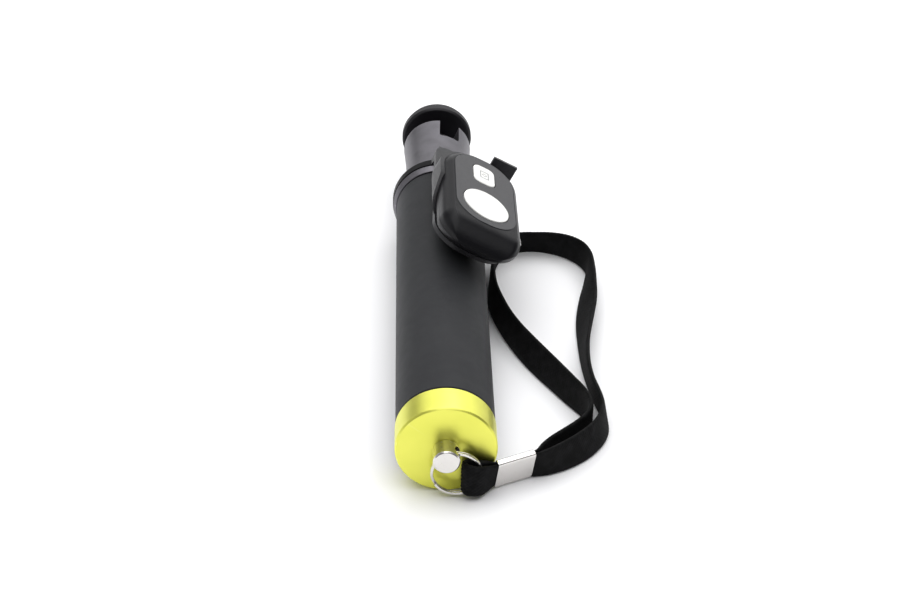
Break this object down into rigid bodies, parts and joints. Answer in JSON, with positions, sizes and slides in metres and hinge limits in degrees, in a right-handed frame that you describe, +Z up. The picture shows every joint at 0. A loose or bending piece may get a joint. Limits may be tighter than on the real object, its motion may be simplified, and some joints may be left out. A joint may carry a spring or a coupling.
{
  "type": "selfie stick",
  "caption": "Folded telescoping stick with a notched ball head, a lime metal end cap, a wrist strap on a split ring, and a pocket remote clipped in a holder on the grip.",
  "frame": {"origin": "on the table, under the middle of the stick's box, without the strap and its crimp", "axes": "+Z up, +Y along the stick from the end cap to the ball head, +X towards the side where the strap lies"},
  "size_m": [0.0682, 0.2054, 0.0477],
  "materials": {
    "lime_anodised": "satin anodised lime",
    "bright_steel": "bright, fine turned or rolled lines",
    "dark_metal": "satin black",
    "tube_metal": "satin drawn tube",
    "soft_touch": "matte soft-touch charcoal",
    "hard_black": "fine moulded grain",
    "remote_grey": "matte dark grey, fine grain",
    "white_plastic": "satin white",
    "webbing": "fine woven black nylon",
    "rubber": "matte black",
    "board_green": "circuit board"
  },
  "bodies": {
    "handle": {"end_cap": "lime_anodised", "lanyard_post": "bright_steel", "cap_gasket": "rubber", "handle_tube": "tube_metal", "grip_sleeve": "soft_touch", "handle_rim": "dark_metal", "throat_bush": "hard_black", "remote_holder": "hard_black", "strap_crimp": "bright_steel", "strap_end_loop": "webbing", "wrist_strap": "webbing"},
    "ring": {"split_ring": "bright_steel"},
    "section_1": {"section_1_tube": "tube_metal", "section_1_bush": "hard_black"},
    "section_2": {"section_2_tube": "tube_metal", "section_2_bush": "hard_black"},
    "section_3": {"section_3_tube": "tube_metal", "section_3_bush": "hard_black"},
    "section_4": {"section_4_tube": "tube_metal", "section_4_bush": "hard_black"},
    "section_5": {"section_5_tube": "tube_metal", "section_5_bush": "hard_black"},
    "head": {"neck_adapter": "tube_metal", "ball_housing": "dark_metal", "ball_spring": "bright_steel", "ball_seat": "hard_black"},
    "ball": {"ball_stud": "dark_metal"},
    "platform": {"platform_disc": "dark_metal", "platform_pad": "rubber", "camera_screw": "bright_steel"},
    "remote": {"remote_top_shell": "remote_grey", "remote_bottom_shell": "remote_grey", "circuit_board": "board_green", "radio_module": "hard_black", "shutter_switch": "bright_steel", "camera_switch": "bright_steel", "coin_cell": "bright_steel", "cell_contact": "bright_steel", "battery_door": "remote_grey", "remote_screw_1": "bright_steel", "remote_screw_2": "bright_steel"},
    "shutter_key": {"shutter_button": "white_plastic"},
    "camera_key": {"camera_button": "white_plastic"},
    "power_key": {"power_switch": "white_plastic"}
  },
  "joints": [
    {"name": "section_1_slide", "type": "slide", "parent": "handle", "child": "section_1", "axis": [0, 1, 0.008], "range_m": [0, 0.108]},
    {"name": "section_2_slide", "type": "slide", "parent": "section_1", "child": "section_2", "axis": [0, 1, 0.008], "range_m": [0, 0.108]},
    {"name": "section_3_slide", "type": "slide", "parent": "section_2", "child": "section_3", "axis": [0, 1, 0.008], "range_m": [0, 0.108]},
    {"name": "section_4_slide", "type": "slide", "parent": "section_3", "child": "section_4", "axis": [0, 1, 0.008], "range_m": [0, 0.108]},
    {"name": "section_5_slide", "type": "slide", "parent": "section_4", "child": "section_5", "axis": [0, 1, 0.008], "range_m": [0, 0.108]},
    {"name": "head_turn", "type": "hinge", "parent": "section_5", "child": "head", "pos_m": [-0.00509, 0.04975, 0.01616], "axis": [0, 1, 0.008], "continuous": true},
    {"name": "ball_tilt", "type": "hinge", "parent": "head", "child": "ball", "pos_m": [-0.00509, 0.07785, 0.01639], "axis": [0.9179, 0.0032, -0.3968], "range_deg": [0, 90]},
    {"name": "platform_turn", "type": "hinge", "parent": "ball", "child": "platform", "pos_m": [-0.00509, 0.09215, 0.0165], "axis": [0, 1, 0.008], "continuous": true},
    {"name": "ring_turn", "type": "hinge", "parent": "handle", "child": "ring", "pos_m": [-0.00216, -0.09949, 0.00889], "axis": [0, 1, 0.008], "continuous": true},
    {"name": "remote_lift", "type": "slide", "parent": "handle", "child": "remote", "axis": [0.4899, -0.007, 0.8717], "range_m": [0, 0.02]},
    {"name": "shutter_press", "type": "slide", "parent": "remote", "child": "shutter_key", "axis": [-0.4899, 0.007, -0.8717], "range_m": [0, 0.0004], "stiffness_N_per_m": 1500},
    {"name": "camera_press", "type": "slide", "parent": "remote", "child": "camera_key", "axis": [-0.4899, 0.007, -0.8717], "range_m": [0, 0.0004], "stiffness_N_per_m": 1500},
    {"name": "power_slide", "type": "slide", "parent": "remote", "child": "power_key", "axis": [0, 1, 0.008], "range_m": [0, 0.003]}
  ]
}
